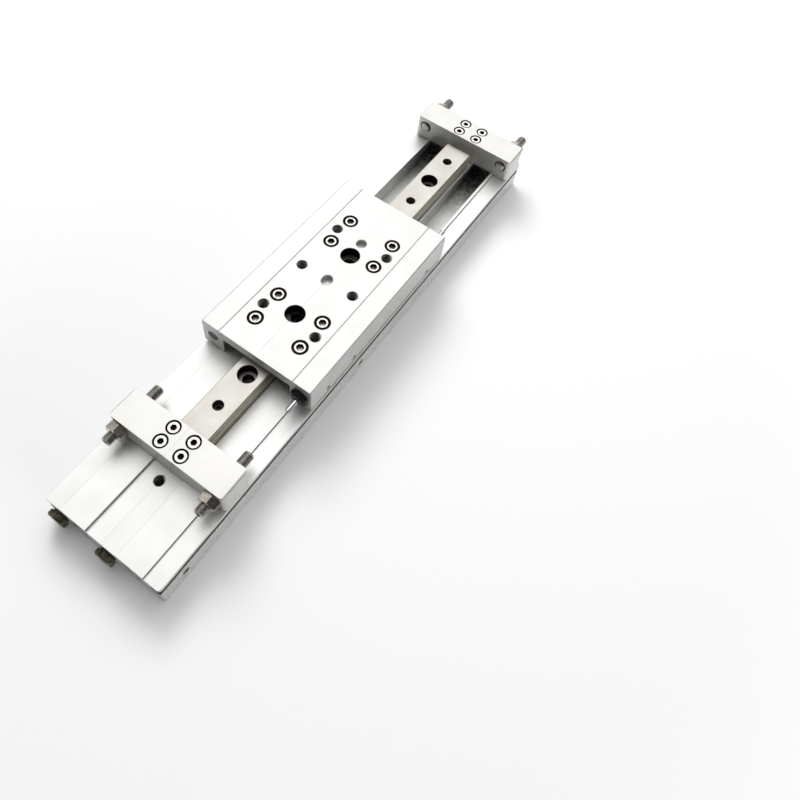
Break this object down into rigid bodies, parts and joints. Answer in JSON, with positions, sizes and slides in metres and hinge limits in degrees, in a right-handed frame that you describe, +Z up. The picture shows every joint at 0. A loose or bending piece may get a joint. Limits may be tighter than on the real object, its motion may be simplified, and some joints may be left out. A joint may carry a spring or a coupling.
{
  "type": "pneumatic slide table",
  "caption": "Long-stroke pneumatic slide table: a rail-guided table on a low twin-cylinder body, with stopper blocks, adjusting bolts, shock absorbers and bumpers.",
  "frame": {"origin": "middle of the lower edge of the port end face, in the mounting face", "axes": "+X along the stroke from the port end to the far end, +Y to the left across the stroke, +Z up from the mounting face"},
  "size_m": [0.2958, 0.06, 0.0333],
  "materials": {
    "clear_anodised_aluminium": "clear anodised, fine satin",
    "rail_steel": "ground, satin",
    "screw_steel": "bright zinc plated",
    "bolt_steel": "zinc plated, warm grey",
    "black_steel": "black oxide, dull",
    "plug_steel": "dark olive chromate",
    "chrome_rod": "hard chrome plated, polished",
    "carriage_steel": "ground, satin",
    "carriage_plastic": "moulded, matt",
    "seal_rubber": "matt",
    "bumper_urethane": "matt",
    "piston_aluminium": "chromate, satin",
    "magnet": "smooth",
    "bracket_aluminium": "clear anodised, satin"
  },
  "bodies": {
    "base": {"base_body": "clear_anodised_aluminium", "guide_rail": "rail_steel", "rail_screws": "black_steel", "near_stopper_block": "clear_anodised_aluminium", "far_stopper_block": "clear_anodised_aluminium", "near_block_screws": "screw_steel", "far_block_screws": "screw_steel", "near_lock_nuts": "bolt_steel", "far_lock_nuts": "bolt_steel", "port_plugs": "plug_steel", "port_gaskets": "seal_rubber", "passage_plugs": "black_steel", "head_covers": "clear_anodised_aluminium", "head_cover_rings": "seal_rubber", "head_retaining_rings": "black_steel", "rod_covers": "clear_anodised_aluminium", "rod_cover_rings": "seal_rubber", "rod_seals": "seal_rubber", "rod_retaining_rings": "black_steel"},
    "table": {"table": "clear_anodised_aluminium", "table_screws": "screw_steel", "near_carriage": "carriage_steel", "far_carriage": "carriage_steel", "carriage_end_caps": "carriage_plastic", "carriage_balls": "chrome_rod", "left_bracket": "bracket_aluminium", "right_bracket": "bracket_aluminium", "bracket_screws": "black_steel", "rod_nuts": "screw_steel", "left_piston_rod": "chrome_rod", "right_piston_rod": "chrome_rod", "pistons": "piston_aluminium", "piston_seals": "seal_rubber", "piston_magnets": "magnet", "near_absorber": "black_steel", "far_absorber": "black_steel", "absorber_nuts": "black_steel", "near_bumper": "bumper_urethane", "far_bumper": "bumper_urethane"},
    "near_absorber_rod": {"near_absorber_rod": "chrome_rod"},
    "far_absorber_rod": {"far_absorber_rod": "chrome_rod"},
    "near_left_bolt": {"near_left_bolt": "bolt_steel"},
    "near_right_bolt": {"near_right_bolt": "bolt_steel"},
    "far_left_bolt": {"far_left_bolt": "bolt_steel"},
    "far_right_bolt": {"far_right_bolt": "bolt_steel"}
  },
  "joints": [
    {"name": "table_slide", "type": "slide", "parent": "base", "child": "table", "axis": [1, 0, 0], "range_m": [-0.0231, 0.0587]},
    {"name": "near_absorber_stroke", "type": "slide", "parent": "table", "child": "near_absorber_rod", "axis": [1, 0, 0], "range_m": [0, 0.004], "stiffness_N_per_m": 800, "springref_m": -0.002},
    {"name": "far_absorber_stroke", "type": "slide", "parent": "table", "child": "far_absorber_rod", "axis": [-1, 0, 0], "range_m": [0, 0.004], "stiffness_N_per_m": 800, "springref_m": -0.002},
    {"name": "near_left_bolt_setting", "type": "slide", "parent": "base", "child": "near_left_bolt", "axis": [-1, 0, 0], "range_m": [0, 0.008]},
    {"name": "near_right_bolt_setting", "type": "slide", "parent": "base", "child": "near_right_bolt", "axis": [-1, 0, 0], "range_m": [0, 0.008]},
    {"name": "far_left_bolt_setting", "type": "slide", "parent": "base", "child": "far_left_bolt", "axis": [1, 0, 0], "range_m": [0, 0.008]},
    {"name": "far_right_bolt_setting", "type": "slide", "parent": "base", "child": "far_right_bolt", "axis": [1, 0, 0], "range_m": [0, 0.008]}
  ]
}
